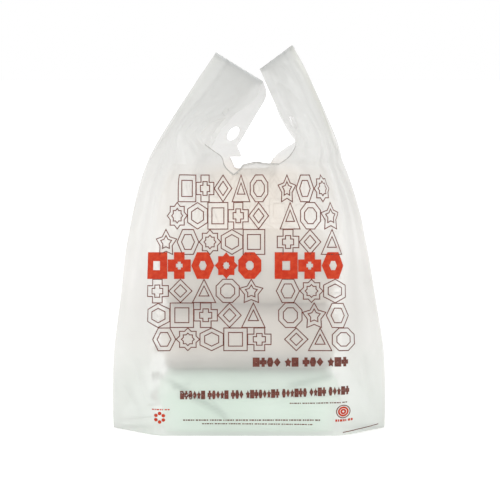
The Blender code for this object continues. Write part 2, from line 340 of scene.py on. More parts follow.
def makeBagTube():
    # rows go up the tube; at the mouth the cut edge turns over
    rowCount, reach, floorGap = bagShape["rowCount"], bagShape["flatHalf"], bagShape["underside"]
    front, back, fold = bagShape["frontColumns"], bagShape["backColumns"], bagShape["gussetColumns"]
    across = [("panel", -1, mix(-reach, reach, k / front)) for k in range(front + 1)]
    across += [("gusset", (1, -1), k / fold) for k in range(1, fold + 1)]
    across += [("gusset", (1, 1), 1 - k / fold) for k in range(1, fold + 1)]
    across += [("panel", 1, mix(reach, -reach, k / back)) for k in range(1, back + 1)]
    across += [("gusset", (-1, 1), k / fold) for k in range(1, fold + 1)]
    across += [("gusset", (-1, -1), 1 - k / fold) for k in range(1, fold)]
    points, uvs, shadeTints = [], [], []
    for r in range(rowCount):
        t = r / (rowCount - 1)
        for c, (kind, which, value) in enumerate(across):
            z = lipHeight * t
            if kind == "panel":
                middle = panelRest(value, bagRow(lipHeight))[0]
                z = max(z + (lipTop(middle, which) - lipHeight) * t**7, floorGap)
                points.append(panelPoint(value, z, which, 2.0 if which < 0 else 7.0))
                shadeTints.append(panelShadeTint(value, z, which))
            else:
                points.append(gussetPoint(which[0], which[1], value, max(z, floorGap)))
                shadeTints.append(filmShadeAndTone["plain"])
            uvs.append((c * 0.002, z))
    faces = gridFaces(rowCount, len(across), closed=True)
    curl = bagShape["lipCurl"]
    last = len(points) - len(across)
    for facing, low, high in ((-1, -0.0285, 0.0335), (1, -0.0235, 0.029)):
        cut = [c for c, (kind, which, value) in enumerate(across)
               if kind == "panel" and which == facing and low < points[last + c].x < high]
        before = [last + c for c in cut]
        for out, up in ((0.5, 0.2), (0.9, -0.3), (1.0, -1.0), (0.8, -1.7)):
            turned = []
            for c in cut:
                place = points[last + c]
                turned.append(len(points))
                points.append(Vector((place.x, place.y + facing * out * curl, place.z + up * curl)))
                uvs.append(uvs[last + c])
                shadeTints.append(filmShadeAndTone["curl"])
            faces += [(a, b, d, e) for a, b, d, e in zip(before, before[1:], turned[1:], turned)]
            before = turned
    piece = addMesh("bag_film", points, faces)
    addUv(piece, uvs)
    addShadeTint(piece, shadeTints)
    return piece


def makeBase():
    # film under the load, from each panel's foot to the weld
    points, faces = [], []
    rows, columns, floorGap = 8, 81, bagShape["underside"]
    for facing in (-1, 1):
        start = len(points)
        for r in range(rows):
            t = r / (rows - 1)
            for k in range(columns):
                u = mix(-bagShape["flatHalf"], bagShape["flatHalf"], k / (columns - 1))
                rim = panelPoint(u, floorGap, facing)
                seal = Vector((rim.x if abs(rim.x) < 0.1 else rim.x * 0.995, facing * 0.0042, 0.0004))
                point = rim.lerp(seal, t)
                point.z = floorGap * (1 + math.sin(t * math.pi))
                points.append(point)
        faces += gridFaces(rows, columns, start)
    piece = addMesh("base_film", points, faces)
    addUv(piece, [(p.x, p.y) for p in points])
    addShadeTint(piece, [filmShadeAndTone["plain"]] * len(points))
    return piece


# each handle is four plies of film between the mouth and a weld

handleShape = {
    # edges are x and z from the lip up to the weld; holes are x, z, slant, half length and half width
    "left": {
        "side": -1,
        "depth": -0.015,
        # amounts of painted shade towards the weld and along the outer fold
        "gatherShade": 0.06,
        "foldShade": 0.03,
        "outer": ((-0.1125, 0.3), (-0.0995, 0.324), (-0.069, 0.373), (-0.037, 0.4215)),
        "front": ((-0.0278, 0.3), (-0.0305, 0.308), (-0.0395, 0.3145), (-0.05, 0.3225),
                  (-0.0545, 0.332), (-0.043, 0.344), (-0.018, 0.353), (0.005, 0.368), (0.0155, 0.3885)),
        "back": ((-0.0092, 0.3), (-0.0098, 0.3045), (-0.0132, 0.3125), (-0.0095, 0.319), (0.006, 0.347),
                 (0.019, 0.372), (0.016, 0.389)),
        "gussetFront": ((-0.048, 0.3), (-0.04, 0.33), (-0.015, 0.36), (0.01, 0.3915)),
        "gussetBack": ((-0.048, 0.3), (-0.034, 0.33), (-0.011, 0.358), (0.012, 0.3905)),
        "hole": (-0.0178, 0.3275, 0.6, 0.0095, 0.0056),
        "nick": (-0.026, 0.357, 0.5, 0.0042, 0.003),  # small tear in the front ply
        "holePlies": ("back",),
    },
    "right": {
        "side": 1,
        "depth": 0.015,
        # amounts of painted shade towards the weld and along the outer fold
        "gatherShade": 0.03,
        "foldShade": 0.09,
        "outer": ((0.104, 0.3), (0.0975, 0.324), (0.067, 0.394), (0.0486, 0.4285)),
        "front": ((0.033, 0.3), (0.043, 0.3065), (0.0505, 0.316), (0.0525, 0.324), (0.047, 0.3345),
                  (0.037, 0.349), (0.025, 0.373), (0.0125, 0.4015)),
        "back": ((0.029, 0.3), (0.0345, 0.305), (0.043, 0.3115), (0.052, 0.318), (0.046, 0.3275),
                 (0.035, 0.347), (0.0255, 0.372), (0.012, 0.4015)),
        "gussetFront": ((0.048, 0.3), (0.056, 0.33), (0.042, 0.365), (0.019, 0.4065)),
        "gussetBack": ((0.048, 0.3), (0.052, 0.33), (0.038, 0.365), (0.016, 0.404)),
        "hole": (0.05, 0.3445, -0.55, 0.0075, 0.0034),
        "holePlies": ("front", "back"),
    },
}


def alongEdge(edge, t):
    # smooth curve through the edge's points, by share of its length
    knots = [Vector(p) for p in edge]
    lengths = [0.0]
    for a, b in zip(knots, knots[1:]):
        lengths.append(lengths[-1] + (b - a).length)
    far = t * lengths[-1]
    k = next((i for i in range(len(knots) - 1) if far <= lengths[i + 1]), len(knots) - 2)
    share = (far - lengths[k]) / (lengths[k + 1] - lengths[k])
    before = knots[k - 1] if k > 0 else knots[k] * 2 - knots[k + 1]
    after = knots[k + 2] if k + 2 < len(knots) else knots[k + 1] * 2 - knots[k]
    p, q = knots[k], knots[k + 1]
    bend = (2 * before - 5 * p + 4 * q - after) * share**2 + (3 * p - before - 3 * q + after) * share**3
    return 0.5 * (2 * p + (q - before) * share + bend)


def flatPlace(x, side):
    # flat distance on the front face, at the lip, for a given X
    low, high = 0.0, bagShape["flatHalf"]
    row = bagRow(lipHeight)
    for _ in range(18):
        half = (low + high) / 2
        if abs(panelRest(side * half, row)[0]) < abs(x):
            low = half
        else:
            high = half
    return side * low


handleForm = {
    "ridge": 0.005,  # the handle is pinched into a ridge beside its outer fold
    "ridgePlace": 0.24,
    "plyGap": 0.0005,
    "wave": 0.003,
    "crease": 0.0016,
    "pucker": 0.0008,  # film drawn into puckers round the mouth's corners
    "columns": 49,
    "rows": 69,
    "swingRoot": 0.072,  # a bend's start and its length
    "bendLength": 0.045,
    "lipBead": 0.00055,
    "frontBead": 0.0006,
    "weldBead": 0.0007,
}

weldShape = {
    "columns": 75,
    "rib": 0.00012,
    # distance down from the edge, and depth
    "profile": ((0.0, 0.0), (0.0003, -0.00105), (0.0012, -0.0012), (0.0034, -0.0012), (0.0046, -0.001),
                (0.0046, 0.001), (0.0034, 0.0012), (0.0012, 0.0012), (0.0003, 0.00105)),
}


def plyPoint(handle, edge, s, t, facing, layer, rootU):
    form = handleForm
    side = handle["side"]
    outer, inner = alongEdge(handle["outer"], t), alongEdge(handle[edge], t)
    place = outer.lerp(inner, s)
    row = bagRow(lipHeight)
    if layer == "strap":
        rootY = panelRest(rootU, row)[1]
        rootPush = panelPush(rootU, place.y, row, facing, 2.0 if facing < 0 else 7.0)
    else:
        rootY = mix(row[2], 0.0005, s)
        rootPush = 0.0
    order = {"strap": 1.5, "gusset": 0.5}[layer] * facing * form["plyGap"]
    bend = t if layer == "strap" else mix(t, smooth(0, 1, t), 0.4)
    y = mix(facing * (rootY + rootPush * (1 - smooth(0.0, 0.5, t))), handle["depth"] + order, bend)
    seed = 20 + side * 3 + facing + (5 if layer == "gusset" else 0)
    wave = noise.noise(Vector((s * 2.6, t * 1.3, seed)))
    crease = 1 - 2 * abs(noise.noise(Vector((s * 4 + t * 1.5, t * 3 - s * 2, seed + 3))))
    small = noise.noise(Vector((s * 12, t * 9, seed + 8)))
    calm = smooth(0.0, 0.25, t) * (1 - smooth(0.86, 0.98, t)) * smooth(0.0, 0.1, s)
    y += calm * (form["wave"] * wave + form["crease"] * crease + bagShape["fineDent"] * small)
    peak = form["ridgePlace"]
    tent = s / peak if s < peak else max(0.0, 1 - (s - peak) / 0.55)
    y -= form["ridge"] * tent * smooth(0.05, 0.35, t) * (1 - smooth(0.9, 1.0, t))
    corner = Vector(handle["front"][2])
    out = Vector((place.x, place.y)) - corner
    turn = math.atan2(out.y, out.x)
    y += form["pucker"] * math.sin(turn * 6 + side) * bell(out.length - 0.011, 0.008) * smooth(0.02, 0.1, t)
    return Vector((place.x, y, place.y))


def plyShadeTint(handle, s, t, layer):
    # painted shade on the handle: darker towards the weld, darker along the outer fold (most on the right
    # handle, which faces away from the key light), and a darker line beside the ridge
    if layer == "gusset":
        return filmShadeAndTone["plain"]
    paintedHandleShade = smooth(0.2, 0.55, t) * smooth(0.18, 0.28, s) * handle["gatherShade"]
    paintedFoldShade = (1 - smooth(0.03, 0.2, s)) * handle["foldShade"]
    line = 0.06 * bell(s - handleForm["ridgePlace"] - 0.03, 0.03) * smooth(0.1, 0.4, t)
    light = 1 - paintedHandleShade - paintedFoldShade - line
    return (light, light, light * (1 - 0.44 * paintedFoldShade))


def openHole(mesh, x, z, angle, halfLong, halfWide):
    # opens an oval in the ply and draws the cut edge onto the oval
    work = bmesh.new()
    work.from_mesh(mesh)

    def reach(v):
        dx, dz = v.co.x - x, v.co.z - z
        long = dx * math.sin(angle) + dz * math.cos(angle)
        wide = dx * math.cos(angle) - dz * math.sin(angle)
        return math.hypot(long / halfLong, wide / halfWide)

    gone = [f for f in work.faces if sum(reach(v) < 1.0 for v in f.verts) > 1]
    bmesh.ops.delete(work, geom=gone, context="FACES")
    for v in work.verts:
        r = reach(v)
        if r < 1.6 and any(len(e.link_faces) == 1 for e in v.link_edges):
            v.co.x = x + (v.co.x - x) / r
            v.co.z = z + (v.co.z - z) / r
    work.to_mesh(mesh)
    work.free()


def makeHandle(name):
    handle = handleShape[name]
    columns, rows = handleForm["columns"], handleForm["rows"]
    plies = []
    for edge, facing, layer in (("front", -1, "strap"), ("gussetFront", -1, "gusset"),
                                ("gussetBack", 1, "gusset"), ("back", 1, "strap")):
        first, last = alongEdge(handle["outer"], 0), alongEdge(handle[edge], 0)
        roots = [flatPlace(first.lerp(last, c / (columns - 1)).x, handle["side"]) for c in range(columns)]
        points, uvs, shadeTints = [], [], []
        for r in range(rows):
            for c in range(columns):
                s, t = c / (columns - 1), r / (rows - 1)
                points.append(plyPoint(handle, edge, s, t, facing, layer, roots[c]))
                uvs.append((c * 0.0017, lipHeight + r * 0.002))
                root = panelShadeTint(roots[c], points[-1].z, facing) if layer == "strap" else filmShadeAndTone["plain"]
                own = plyShadeTint(handle, s, t, layer)
                blend = smooth(0.0, 0.3, t)
                shadeTints.append(tuple(mix(a, b, blend) for a, b in zip(root, own)))
        faces = gridFaces(rows, columns)
        piece = addMesh(f"{name}_{'front' if facing < 0 else 'back'}_{layer}_film", points, faces)
        addUv(piece, uvs)
        addShadeTint(piece, shadeTints)
        if layer == "strap" and ("front" if facing < 0 else "back") in handle["holePlies"]:
            openHole(piece.data, *handle["hole"])
        if layer == "strap" and facing < 0 and "nick" in handle:
            openHole(piece.data, *handle["nick"])
        plies.append(piece)
    return plies


def makeLipEdge(name, path, radius):
    # cut film rolls into a fine bead along the mouth
    sides = 6
    points = []
    for k, place in enumerate(path):
        along = (path[min(k + 1, len(path) - 1)] - path[max(k - 1, 0)]).normalized()
        across = along.cross(Vector((0, 1, 0))).normalized()
        third = along.cross(across)
        thick = radius * (0.8 + 0.4 * noise.noise(place * 300))
        for n in range(sides):
            turn = n / sides * 2 * math.pi
            points.append(place + (across * math.cos(turn) + third * math.sin(turn)) * thick)
    faces = gridFaces(len(path), sides, closed=True)
    faces += [tuple(reversed(range(sides))), tuple(range(len(points) - sides, len(points)))]
    return addMesh(name, points, faces)


def handleLip(name):
    # the front strap's inner edge from the lip round the mouth's corner
    handle = handleShape[name]
    root = flatPlace(handle["front"][0][0], handle["side"])
    return [plyPoint(handle, "front", 1.0, k / 40 * 0.3, -1, "strap", root) for k in range(31)]


def frontLip():
    leftEnd = flatPlace(handleShape["left"]["front"][0][0], -1)
    rightEnd = flatPlace(handleShape["right"]["front"][0][0], 1)
    path = []
    for k in range(61):
        u = mix(leftEnd, rightEnd, k / 60)
        place = panelPoint(u, lipTop(panelRest(u, bagRow(lipHeight))[0], -1), -1)
        path.append(place + Vector((0, -0.0006, 0)))
    return path


def makeWeld(name):
    # pressed band across the four plies, thicker than the film and finely ribbed
    handle = handleShape[name]
    outer, inner = Vector(handle["outer"][-1]), Vector(handle["front"][-1])
    along = inner - outer
    down = Vector((along.y, -along.x)).normalized()
    if down.y > 0:
        down.negate()
    columns, profile = weldShape["columns"], weldShape["profile"]
    points = []
    for c in range(columns):
        foot = outer + along * (c / (columns - 1))
        rib = weldShape["rib"] * (c % 2)
        for far, depth in profile:
            place = foot + down * far
            y = handle["depth"] + depth + math.copysign(rib, depth) * (1 if 0.001 < far < 0.004 else 0)
            points.append((place.x, y, place.y))
    faces = gridFaces(columns, len(profile), closed=True)
    faces.append(tuple(range(len(profile))))
    faces.append(tuple(reversed(range(len(points) - len(profile), len(points)))))
    return addMesh(name + "_weld", points, faces)


def weldLine(name):
    # melted bead along the top of the weld, its thickness varying along it
    handle = handleShape[name]
    outer, inner = Vector(handle["outer"][-1]), Vector(handle["front"][-1])
    line = [outer.lerp(inner, k / 40) for k in range(41)]
    return [Vector((p.x, handle["depth"], p.y - 0.0004)) for p in line]


# the load is three lidded foam containers

containerShape = {
    "corner": 0.013,
    "wall": 0.0024,
    "steps": 9,
    # inwards from the rim's reach, and height from the rim or the foot
    "trayRim": ((0.0, 0.0), (0.0, -0.0022), (0.0022, -0.003), (0.003, -0.0045)),
    "trayFoot": ((0.0068, 0.011), (0.008, 0.004), (0.011, 0.0006), (0.017, 0.0), (0.02, 0.0016),
                 (0.055, 0.0016)),
    # inwards from the rim's reach, and height from the lid's rim or top
    "lidRim": ((0.0, 0.0), (0.0, 0.0022), (0.0022, 0.003), (0.003, 0.0045)),
    "lidTop": ((0.013, -0.009), (0.0165, -0.0032), (0.0205, -0.0003), (0.027, 0.0), (0.03, -0.0018),
               (0.035, -0.0018), (0.038, -0.0002), (0.062, -0.0002)),
}


def ringPoints(reach, z):
    corner = min(containerShape["corner"], reach * 0.6)
    steps = containerShape["steps"]
    points = []
    for quarter in range(4):
        for k in range(steps + 1):
            turn = (quarter + k / steps) * math.pi / 2
            x = (reach - corner) * (1 if quarter in (0, 3) else -1) + corner * math.cos(turn)
            y = (reach - corner) * (1 if quarter in (0, 1) else -1) + corner * math.sin(turn)
            points.append((x, y, z))
    return points


def turnedShell(name, profile):
    count = 4 * (containerShape["steps"] + 1)
    points = [p for reach, z in profile for p in ringPoints(reach, z)]
    faces = gridFaces(len(profile), count, closed=True)
    faces.append(tuple(range(len(points) - count, len(points))))
    piece = addMesh(name, points, faces, 50)
    work = bmesh.new()
    work.from_mesh(piece.data)
    bmesh.ops.recalc_face_normals(work, faces=work.faces)
    work.to_mesh(piece.data)
    work.free()
    wall = piece.modifiers.new("wall", "SOLIDIFY")
    wall.thickness = containerShape["wall"]
    wall.offset = -1
    return piece


def makeContainer(name):
    made = []
    for part, lower, upper in (("tray", "trayFoot", "trayRim"), ("lid", "lidRim", "lidTop")):
        low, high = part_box(f"container_{name}_{part}")
        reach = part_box(f"container_{name}_tray")[1][0]
        foot = [(reach - inward, low[2] + up) for inward, up in containerShape[lower]]
        head = [(reach - inward, high[2] + up) for inward, up in containerShape[upper]]
        piece = turnedShell(f"{name}_{part}_foam", head + foot if part == "tray" else foot + head)
        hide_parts(f"container_{name}_{part}")
        made.append(piece)
    return made


# print: rows of open shapes, one solid row, and small marks

printShape = {
    "line": 0.00105,
    "lift": 0.00024,
    "backShare": 0.97,  # the back's mouth is cut lower, so its print is too
    "ring": 0.6,  # inner outline beside the outer one
    "heavyRing": 0.34,
    "rows": (
        # left end, right end, baseline and height in the flat panel
        (-0.0785, 0.0917, 0.2592, 0.0296),
        (-0.0906, 0.1017, 0.2294, 0.0296),
        (-0.1039, 0.1039, 0.2014, 0.028),
        (-0.116, 0.106, 0.1742, 0.0302),
        (-0.115, 0.1083, 0.1478, 0.0266),
        (-0.1138, 0.1116, 0.1204, 0.0274),
        (-0.1072, 0.1182, 0.0947, 0.0257),
    ),
    "solidRow": 3,
    "groups": (5, 3),
    "gap": 0.55,  # between groups, as a share of a shape's width
    "smallRing": 0.05,
    # left end, right end, baseline, height, groups and rise to the right of the two small bold rows
    "smallRows": (
        (0.004, 0.11, 0.0765, 0.0108, (4, 2, 3, 3), 0.0008),
        (-0.0764, 0.1112, 0.0408, 0.0098, (6, 5, 3, 8, 6, 4, 5), 0.0052),
    ),
    # left end, right end, height on the panel, thickness and rise of the fine rows
    "fineRows": (
        (0.045, 0.1085, 0.0365, 0.0012, 0.001),
        (-0.073, 0.078, 0.0178, 0.0014, 0.0),
        (-0.052, 0.07, 0.0138, 0.0012, -0.001),
    ),
    "dashes": (0.0022, 0.0014, 0.003, 0.0018, 0.0012, 0.0026),
    "dashGap": 0.0007,
    "groupGap": 0.0017,
    "footLine": ((0.104, 0.0034), (0.125, 0.0046), (0.145, 0.0064)),
    "footWidth": 0.001,
    # ring of dots at the left
    "dots": {"x": -0.099, "z": 0.0204, "reach": 0.0048, "size": 0.004,
             "caption": (-0.1075, -0.09, 0.0294, 0.0014)},
    # round badge at the right
    "badge": {"x": 0.1045, "z": 0.027, "width": 0.0152, "height": 0.014, "rim": 0.0011,
              "rings": (0.66, 0.3), "ringWidth": 0.002, "caption": (0.0955, 0.1135, 0.0172, 0.0026)},
}


def polygon(count, turn=0.0):
    turns = [turn + k / count * 2 * math.pi for k in range(count)]
    return [(math.sin(t), math.cos(t)) for t in turns]


def star(count, inner):
    points = []
    for k in range(count * 2):
        r = 1.0 if k % 2 == 0 else inner
        points.append((r * math.sin(k / count * math.pi), r * math.cos(k / count * math.pi)))
    return points


def plus(arm):
    quarter = [(arm, 1), (arm, arm), (1, arm)]
    points = []
    for k in range(4):
        c, s = round(math.cos(k * math.pi / 2)), round(math.sin(k * math.pi / 2))
        points += [(x * c + y * s, -x * s + y * c) for x, y in quarter]
    return points


openShapes = (
    # points, and how much of the ring's width its inner outline keeps
    (polygon(4, math.pi / 4), 1.0),
    (star(5, 0.58), 0.86),
    (plus(0.46), 0.86),
    (polygon(6, math.pi / 6), 1.0),
    (polygon(4), 0.9),
    (star(8, 0.76), 0.92),
    (polygon(3), 0.72),
    (polygon(6), 1.0),
    (polygon(8, math.pi / 8), 1.0),
)
heavyShapes = (openShapes[0], openShapes[5], openShapes[2], openShapes[8], openShapes[3])
smallShapes = (openShapes[0], openShapes[4], openShapes[2], openShapes[1], openShapes[3])


def fitted(points, x, z, width, height):
    lowX, highX = min(p[0] for p in points), max(p[0] for p in points)
    lowZ, highZ = min(p[1] for p in points), max(p[1] for p in points)
    return [((px - (lowX + highX) / 2) / (highX - lowX) * width + x,
             (pz - (lowZ + highZ) / 2) / (highZ - lowZ) * height + z) for px, pz in points]


class InkSheet:
    # gathers flat shapes and lays them on the film
    def __init__(self):
        self.points = []
        self.faces = []

    def strip(self, left, right):
        # quads between two flat paths with the same number of points
        start = len(self.points)
        self.points += [p for pair in zip(left, right) for p in pair]
        for k in range(len(left) - 1):
            a = start + 2 * k
            self.faces.append((a, a + 1, a + 3, a + 2))

    def line(self, path, width, closed=True):
        # path drawn as a thin band of constant width
        path = [Vector(p) for p in path]
        count = len(path)
        left, right = [], []
        for k in range(count + (1 if closed else 0)):
            here = path[k % count]
            before = path[(k - 1) % count] if closed or k > 0 else here
            after = path[(k + 1) % count] if closed or k < count - 1 else here
            inward = (here - before).normalized() if (here - before).length else (after - here).normalized()
            onward = (after - here).normalized() if (after - here).length else inward
            normal = Vector((-(inward + onward).y, (inward + onward).x)).normalized()
            spread = max(normal.dot(Vector((-inward.y, inward.x))), 0.45)
            left.append(here + normal * width / 2 / spread)
            right.append(here - normal * width / 2 / spread)
        self.dense(left, right, 1)

    def dense(self, left, right, bands):
        # adds points so that the band follows the film
        fineLeft, fineRight = [Vector(left[0])], [Vector(right[0])]
        for k in range(1, len(left)):
            a, b, c, d = Vector(left[k - 1]), Vector(left[k]), Vector(right[k - 1]), Vector(right[k])
            steps = max(1, math.ceil((b - a).length / 0.003))
            for n in range(1, steps + 1):
                fineLeft.append(a.lerp(b, n / steps))
                fineRight.append(c.lerp(d, n / steps))
        for band in range(bands):
            self.strip([p.lerp(q, band / bands) for p, q in zip(fineLeft, fineRight)],
                       [p.lerp(q, (band + 1) / bands) for p, q in zip(fineLeft, fineRight)])

    def bar(self, x, z, width, height):
        left = [(x, z - height / 2 + height * k / 4) for k in range(5)]
        right = [(px + width, pz) for px, pz in left]
        self.dense(left, right, max(1, math.ceil(width / 0.003)))

    def build(self, name, facing):
        lift = printShape["lift"]
        laid = []
        for u, z in self.points:
            if facing > 0:
                z *= printShape["backShare"]
            point = panelPoint(-u * facing, z, facing, 2.0 if facing < 0 else 7.0)
            point.y += facing * lift
            laid.append(point)
        faces = []
        for face in self.faces:
            a, b, c = (laid[i] for i in face[:3])
            turned = (b - a).cross(c - a).y * facing < 0
            faces.append(tuple(reversed(face)) if turned else face)
        return addMesh(name, laid, faces)


def shapeRow(sheet, shapes, place, groups, ring, shift, solid=False, rise=0.0):
    # shapes side by side, in groups with a gap between them
    left, right, base, height = place
    gap = printShape["gap"]
    pitch = (right - left) / (sum(groups) + gap * (len(groups) - 1))
    x = left + pitch / 2
    k = 0
    for group in groups:
        for _ in range(group):
            points, share = shapes[(k * 2 + shift * 5) % len(shapes)]
            middle = (x, base + height / 2 + rise * ((x - left) / (right - left))**2)
            outer = fitted(points, middle[0], middle[1], pitch * 0.98, height * 0.98)
            hole = ring * share
            inner = [(mix(middle[0], px, hole), mix(middle[1], pz, hole)) for px, pz in outer]
            if solid:
                sheet.dense(outer + outer[:1], inner + inner[:1], 3)
            else:
                sheet.line(outer, printShape["line"])
                sheet.line(inner, printShape["line"])
            x += pitch
            k += 1
        x += pitch * gap


def hairLine(sheet, left, right, z, height, rise=0.0):
    # fine line of short dashes, in groups of five
    x, k = left, 0
    while x < right:
        length = printShape["dashes"][k % len(printShape["dashes"])]
        sheet.bar(x, z + rise * ((x - left) / (right - left))**2, length, height)
        x += length + printShape["groupGap" if k % 5 == 4 else "dashGap"]
        k += 1


def makePrint(facing):
    # both faces of the bag carry the same print
    outlines, solids = InkSheet(), InkSheet()
    look = printShape
    for number, place in enumerate(look["rows"]):
        if number == look["solidRow"]:
            shapeRow(solids, heavyShapes, place, look["groups"], look["heavyRing"], number, solid=True)
        else:
            shapeRow(outlines, openShapes, place, look["groups"], look["ring"], number)
    for number, (*place, groups, rise) in enumerate(look["smallRows"]):
        shapeRow(outlines, smallShapes, place, groups, look["smallRing"], number + 1, solid=True, rise=rise)
    for row in look["fineRows"]:
        hairLine(outlines, *row)
    outlines.line(look["footLine"], look["footWidth"], closed=False)
    dots, badge = look["dots"], look["badge"]
    for k in range(6):
        turn = k * math.pi / 3
        middle = (dots["x"] + dots["reach"] * math.sin(turn), dots["z"] + dots["reach"] * math.cos(turn))
        spot = fitted(polygon(10), *middle, dots["size"], dots["size"])
        solids.dense(spot + spot[:1], [middle] * 11, 1)
    hairLine(solids, *dots["caption"])
    rim = fitted(polygon(32), badge["x"], badge["z"], badge["width"], badge["height"])
    outlines.line(rim, badge["rim"])
    for k in badge["rings"]:
        ring = [(mix(badge["x"], px, k), mix(badge["z"], pz, k)) for px, pz in rim]
        solids.line(ring, badge["ringWidth"])
    hairLine(solids, *badge["caption"])
    side = "front" if facing < 0 else "back"
    return outlines.build(side + "_outline_print", facing), solids.build(side + "_solid_print", facing)


def toLinear(hexColour):
    values = [int(hexColour[k:k + 2], 16) / 255 for k in (1, 3, 5)]
    return tuple(v / 12.92 if v <= 0.04045 else ((v + 0.055) / 1.055) ** 2.4 for v in values) + (1.0,)


def addNode(tree, kind, settings=None, links=None):
    node = tree.nodes.new(kind)
    for key, value in (settings or {}).items():
        if key in node.inputs:
            node.inputs[key].default_value = value
        else:
            setattr(node, key, value)
    for key, source in (links or {}).items():
        tree.links.new(source, node.inputs[key])
    return node


def newMaterial(name, settings):
    material = bpy.data.materials.new(name)
    material.use_nodes = True
    tree = material.node_tree
    shader = tree.nodes["Principled BSDF"]
    for key, value in settings.items():
        shader.inputs[key].default_value = value
    return material, tree, shader


filmFinish = {
    "milky": "#F4F4F3",
    "thin": "#ECEDEB",
    "paintedHandleShade": "#D0D2D1",  # painted shade: the film is darker towards the top, where the handles are
    "handleShadeFrom": 0.2,
    "handleShadeTo": 0.35,
    "passed": "#F4F3F1",  # colour of the light that comes through
    "through": 0.5,  # share of the light that is scattered through the ply
    "cover": 0.74,  # the rest is seen straight through
    "roughness": 0.34,
    "streak": 3.0,  # mm between the die lines of the blown tube, drawn coarser to show
    "crinkle": 7.0,  # mm across the small dents of handled film
    "cloud": 1000 / 14,  # mm across the thicker and thinner patches
}


def blownPolyethyleneFilm():
    # blown HDPE: milky, half clear, satin, with faint lines along the tube and small handled dents
    look = filmFinish
    material, tree, shader = newMaterial("blown_hdpe_film", {
        "Roughness": look["roughness"], "IOR": 1.54, "Specular IOR Level": 0.4})
    place = addNode(tree, "ShaderNodeTexCoord")
    cloud = addNode(tree, "ShaderNodeTexNoise", {"Scale": 1000 / look["cloud"], "Detail": 3.0},
                    {"Vector": place.outputs["Object"]})
    colour = addNode(tree, "ShaderNodeValToRGB", None, {"Fac": cloud.outputs["Fac"]})
    colour.color_ramp.elements[0].position = 0.35
    colour.color_ramp.elements[0].color = toLinear(look["thin"])
    colour.color_ramp.elements[1].position = 0.65
    colour.color_ramp.elements[1].color = toLinear(look["milky"])
    # painted shade: the film darkens with height towards the handles
    height = addNode(tree, "ShaderNodeSeparateXYZ", None, {"Vector": place.outputs["Object"]})
    rise = addNode(tree, "ShaderNodeMapRange", {"From Min": look["handleShadeFrom"], "From Max": look["handleShadeTo"]},
                   {"Value": height.outputs["Z"]})
    drawn = addNode(tree, "ShaderNodeMix", {"data_type": "RGBA"},
                    {"Factor": rise.outputs["Result"], 6: colour.outputs["Color"]})
    drawn.inputs[7].default_value = toLinear(look["paintedHandleShade"])
    # painted shade and a warm cast from the vertex colour attribute multiply the film's colour and the light
    # it lets through
    shadeTint = addNode(tree, "ShaderNodeVertexColor", {"layer_name": "shadeTint"})
    multiply = {"data_type": "RGBA", "blend_type": "MULTIPLY", "Factor": 1.0}
    tone = addNode(tree, "ShaderNodeMix", multiply, {6: drawn.outputs[2], 7: shadeTint.outputs["Color"]})
    tree.links.new(tone.outputs[2], shader.inputs["Base Color"])
    passed = addNode(tree, "ShaderNodeMix", multiply, {7: shadeTint.outputs["Color"]})
    passed.inputs[6].default_value = toLinear(look["passed"])
    dents = addNode(tree, "ShaderNodeTexNoise",
                    {"Scale": 1000 / look["crinkle"], "Detail": 4.0, "Roughness": 0.55},
                    {"Vector": place.outputs["Object"]})
    flat = addNode(tree, "ShaderNodeUVMap", {"uv_map": "flat"})
    stretch = addNode(tree, "ShaderNodeMapping", {"Scale": (1.0, 0.01, 1.0)}, {"Vector": flat.outputs["UV"]})
    lines = addNode(tree, "ShaderNodeTexNoise", {"Scale": 1000 / look["streak"], "Detail": 2.0},
                    {"Vector": stretch.outputs["Vector"]})
    dentBump = addNode(tree, "ShaderNodeBump", {"Strength": 0.22, "Distance": 0.0012},
                       {"Height": dents.outputs["Fac"]})
    lineBump = addNode(tree, "ShaderNodeBump", {"Strength": 0.04, "Distance": 0.0004},
                       {"Height": lines.outputs["Fac"], "Normal": dentBump.outputs["Normal"]})
    tree.links.new(lineBump.outputs["Normal"], shader.inputs["Normal"])
    glow = addNode(tree, "ShaderNodeBsdfTranslucent", None,
                   {"Color": passed.outputs[2], "Normal": lineBump.outputs["Normal"]})
    body = addNode(tree, "ShaderNodeMixShader", {"Fac": look["through"]},
                   {1: shader.outputs["BSDF"], 2: glow.outputs["BSDF"]})
    clear = addNode(tree, "ShaderNodeBsdfTransparent")
    ply = addNode(tree, "ShaderNodeMixShader", {"Fac": look["cover"]},
                  {1: clear.outputs["BSDF"], 2: body.outputs["Shader"]})
    tree.links.new(ply.outputs["Shader"], tree.nodes["Material Output"].inputs["Surface"])
    return material


def fusedFilm(name, colour, opacity):
    # plies fused or rolled together: denser, greyer and glossier than the single film
    material, tree, shader = newMaterial(name, {
        "Base Color": toLinear(colour), "Roughness": 0.28, "IOR": 1.54, "Alpha": opacity})
    place = addNode(tree, "ShaderNodeTexCoord")
    # press marks about 1.4 mm across
    grain = addNode(tree, "ShaderNodeTexNoise", {"Scale": 700.0, "Detail": 2.0},
                    {"Vector": place.outputs["Object"]})
    bump = addNode(tree, "ShaderNodeBump", {"Strength": 0.25, "Distance": 0.0004},
                   {"Height": grain.outputs["Fac"]})
    tree.links.new(bump.outputs["Normal"], shader.inputs["Normal"])
    return material


